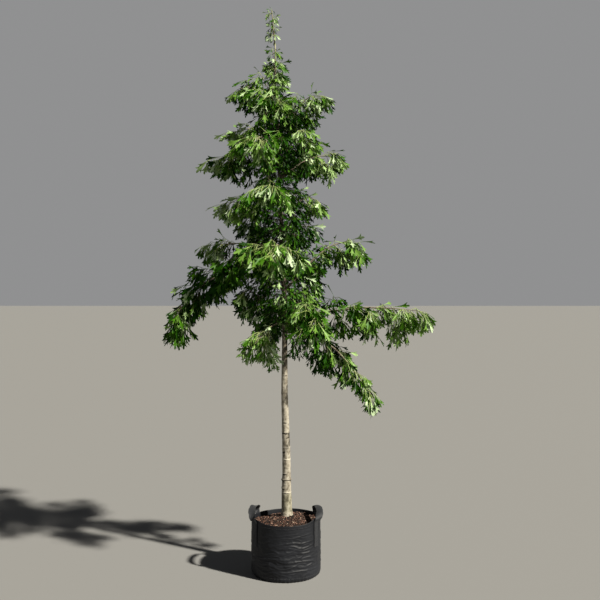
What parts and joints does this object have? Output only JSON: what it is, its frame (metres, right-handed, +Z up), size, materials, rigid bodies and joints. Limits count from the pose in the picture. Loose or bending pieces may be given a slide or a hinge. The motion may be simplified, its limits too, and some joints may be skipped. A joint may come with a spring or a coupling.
{
  "type": "potted tree",
  "caption": "Young oak, about 3 m tall, with drooping lobed leaves on thin boughs, standing root ball and all in a round black fabric planting bag with two strap handles.",
  "frame": {"origin": "centre of the planting bag's flat underside", "axes": "Z up along the trunk; -Y faces the viewer of the plant's front; X runs from handle to handle"},
  "size_m": [1.5046, 1.0361, 3.1526],
  "materials": {
    "bag_fabric": "satin",
    "strap_webbing": "matte",
    "soil": "rough",
    "bark": "rough",
    "leaf_green": "satin"
  },
  "bodies": {
    "root": {"bag": "bag_fabric", "root_ball": "soil", "handle_left": "strap_webbing", "handle_right": "strap_webbing", "trunk": "bark", "bough_low_back": "bark", "bough_low_front": "bark", "bough_low_left": "bark", "bough_low_right_drop": "bark", "bough_low_right_far": "bark", "bough_low_right_near": "bark", "bough_mid_back": "bark", "bough_mid_front": "bark", "bough_mid_left_far": "bark", "bough_mid_left_high": "bark", "bough_mid_left_near": "bark", "bough_mid_right": "bark", "bough_top_back": "bark", "bough_top_left": "bark", "bough_top_right": "bark", "bough_upper_back": "bark", "bough_upper_front": "bark", "bough_upper_left": "bark", "bough_upper_left_high": "bark", "bough_upper_right": "bark", "bough_waist_back": "bark", "bough_waist_front": "bark", "bough_waist_left": "bark", "foliage_crown_high": "leaf_green", "foliage_crown_low": "leaf_green", "foliage_inner_left": "leaf_green", "foliage_inner_right": "leaf_green", "foliage_leader": "leaf_green", "foliage_low_back": "leaf_green", "foliage_low_front": "leaf_green", "foliage_low_left": "leaf_green", "foliage_low_right_drop": "leaf_green", "foliage_low_right_far": "leaf_green", "foliage_low_right_near": "leaf_green", "foliage_mid_back": "leaf_green", "foliage_mid_front": "leaf_green", "foliage_mid_left_far": "leaf_green", "foliage_mid_left_high": "leaf_green", "foliage_mid_left_near": "leaf_green", "foliage_mid_right": "leaf_green", "foliage_mid_right_high": "leaf_green", "foliage_top_back": "leaf_green", "foliage_top_front": "leaf_green", "foliage_top_left": "leaf_green", "foliage_top_right": "leaf_green", "foliage_upper_back": "leaf_green", "foliage_upper_front": "leaf_green", "foliage_upper_left": "leaf_green", "foliage_upper_left_high": "leaf_green", "foliage_upper_right": "leaf_green", "foliage_upper_right_high": "leaf_green", "foliage_waist_back": "leaf_green", "foliage_waist_front": "leaf_green", "foliage_waist_left": "leaf_green", "foliage_waist_right": "leaf_green"}
  },
  "joints": []
}
